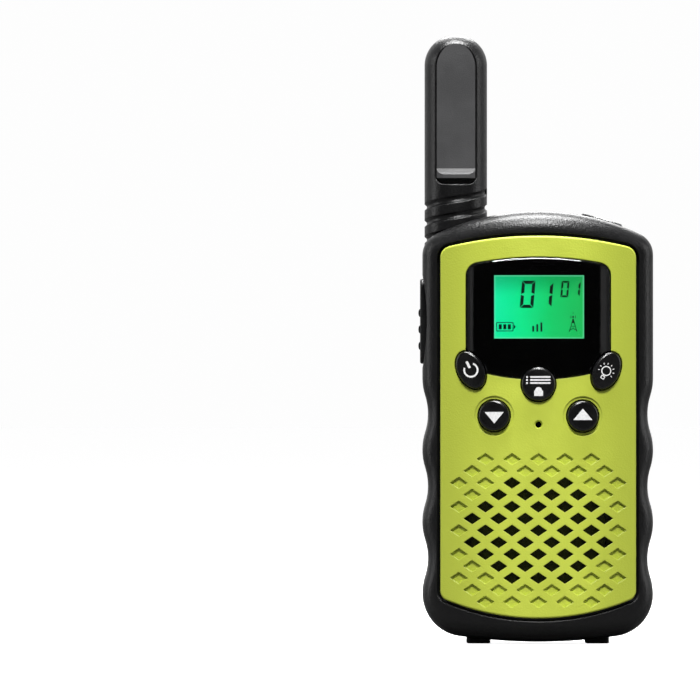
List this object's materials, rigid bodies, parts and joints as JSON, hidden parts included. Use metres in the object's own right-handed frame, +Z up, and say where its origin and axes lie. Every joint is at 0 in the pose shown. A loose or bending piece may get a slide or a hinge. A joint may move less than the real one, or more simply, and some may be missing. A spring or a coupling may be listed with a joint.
{
  "type": "toy walkie talkie",
  "caption": "Handheld toy two-way radio with a bowed black housing, lime faceplate, small display, keys, grille, stub antenna and sprung belt clip.",
  "frame": {"origin": "under the middle of the standing radio, on the plane its two rubber feet rest on", "axes": "+Z up along the antenna, -Y out of the display face, +X to the right seen from the front"},
  "size_m": [0.0562, 0.0343, 0.1458],
  "materials": {
    "black_plastic": "fine grain satin moulded plastic",
    "lime_plastic": "fine grain satin moulded plastic",
    "lens_plastic": "gloss, clear over a black printed border",
    "clear_plastic": "clear gloss",
    "display": "backlit green display cell",
    "white_plastic": "white gloss",
    "key_plastic": "semi-gloss moulded keys with white marks",
    "rubber": "matt rubber",
    "foam": "black foam and felt",
    "grey_plastic": "grained dark grey insert",
    "steel": "zinc plated steel",
    "brass": "bare brass",
    "copper": "enamelled copper wire",
    "board": "green solder mask",
    "chips": "moulded chip packages",
    "tinplate": "bright tinplate",
    "cone_paper": "coated film cone",
    "magnet": "plated magnet and yoke",
    "battery": "plain sleeve with bare metal ends"
  },
  "bodies": {
    "base": {"front_shell": "black_plastic", "rear_shell": "black_plastic", "faceplate": "lime_plastic", "display_lens": "lens_plastic", "lens_mask": "black_plastic", "lens_gasket": "foam", "lcd_glass": "display", "lcd_light_guide": "clear_plastic", "lcd_holder": "white_plastic", "zebra_connector": "rubber", "backlight_leds": "white_plastic", "keypad_membrane": "rubber", "ptt_switch": "chips", "speaker_cloth": "foam", "speaker_gasket": "foam", "speaker_basket": "tinplate", "speaker_cone": "cone_paper", "speaker_magnet": "magnet", "microphone": "tinplate", "mic_boot": "rubber", "main_board": "board", "board_chips": "chips", "rf_shield": "tinplate", "antenna_cover": "black_plastic", "antenna_pad": "grey_plastic", "antenna_core": "white_plastic", "antenna_coil": "copper", "torch_lens": "clear_plastic", "torch_reflector": "tinplate", "torch_led": "white_plastic", "aaa_cells": "battery", "contact_springs": "steel", "contact_plates": "steel", "clip_bracket": "black_plastic", "clip_pin": "steel", "clip_spring": "steel", "clip_screws": "steel", "headset_jack": "black_plastic", "housing_screws": "steel", "board_screws": "steel", "rubber_feet": "rubber"},
    "power_key": {"power_button": "key_plastic"},
    "light_key": {"light_button": "key_plastic"},
    "menu_key": {"menu_button": "key_plastic"},
    "down_key": {"down_button": "key_plastic"},
    "up_key": {"up_button": "key_plastic"},
    "talk_key": {"ptt_button": "black_plastic"},
    "door": {"battery_door": "black_plastic", "door_pad": "foam"},
    "clip": {"belt_clip": "black_plastic"},
    "flap": {"jack_cover": "rubber"}
  },
  "joints": [
    {"name": "power_key_press", "type": "slide", "parent": "base", "child": "power_key", "axis": [0, 1, 0], "range_m": [0, 0.0006], "stiffness_N_per_m": 1500},
    {"name": "light_key_press", "type": "slide", "parent": "base", "child": "light_key", "axis": [0, 1, 0], "range_m": [0, 0.0006], "stiffness_N_per_m": 1500},
    {"name": "menu_key_press", "type": "slide", "parent": "base", "child": "menu_key", "axis": [0, 1, 0], "range_m": [0, 0.0006], "stiffness_N_per_m": 1500},
    {"name": "down_key_press", "type": "slide", "parent": "base", "child": "down_key", "axis": [0, 1, 0], "range_m": [0, 0.0006], "stiffness_N_per_m": 1500},
    {"name": "up_key_press", "type": "slide", "parent": "base", "child": "up_key", "axis": [0, 1, 0], "range_m": [0, 0.0006], "stiffness_N_per_m": 1500},
    {"name": "talk_key_press", "type": "slide", "parent": "base", "child": "talk_key", "axis": [1, 0, 0], "range_m": [0, 0.0008], "stiffness_N_per_m": 2500},
    {"name": "battery_door_hinge", "type": "hinge", "parent": "base", "child": "door", "pos_m": [0, 0.0085, 0.0074], "axis": [-1, 0, 0], "range_deg": [0, 80]},
    {"name": "belt_clip_hinge", "type": "hinge", "parent": "base", "child": "clip", "pos_m": [0, 0.0124, 0.0885], "axis": [1, 0, 0], "range_deg": [0, 12], "stiffness_Nm_per_rad": 0.15, "springref_deg": -5.73},
    {"name": "jack_cover_hinge", "type": "hinge", "parent": "base", "child": "flap", "pos_m": [0.02705, 0.0029, 0.076], "axis": [0, 0, 1], "range_deg": [0, 100]}
  ]
}
